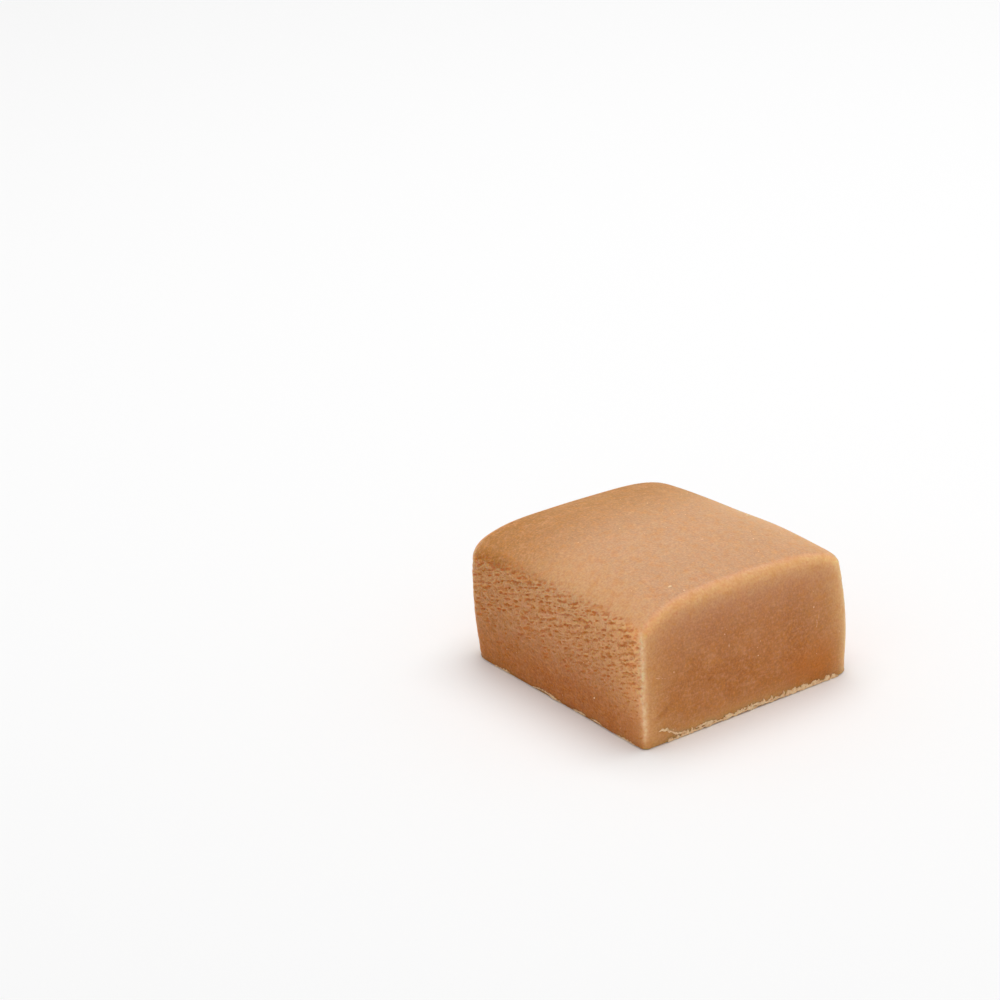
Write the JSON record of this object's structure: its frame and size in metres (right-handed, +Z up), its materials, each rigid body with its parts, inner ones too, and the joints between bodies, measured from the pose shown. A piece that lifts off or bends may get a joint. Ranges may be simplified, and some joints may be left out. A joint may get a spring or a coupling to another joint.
{
  "type": "piece of vanilla fudge",
  "caption": "Bite-size block of vanilla fudge with a soft domed top, two clean sliced ends and two torn, pitted long sides, for eating or for filling a bowl, bag or tray.",
  "frame": {"origin": "middle of the flat underside, at the centre of the bounding box", "axes": "+Z up from the underside; X along the two torn long sides, with the crisp upright edge at +X -Y; Y between the torn sides"},
  "size_m": [0.0282, 0.0256, 0.0144],
  "materials": {
    "fudge": null
  },
  "bodies": {
    "root": {"fudge_piece": "fudge"}
  },
  "joints": []
}
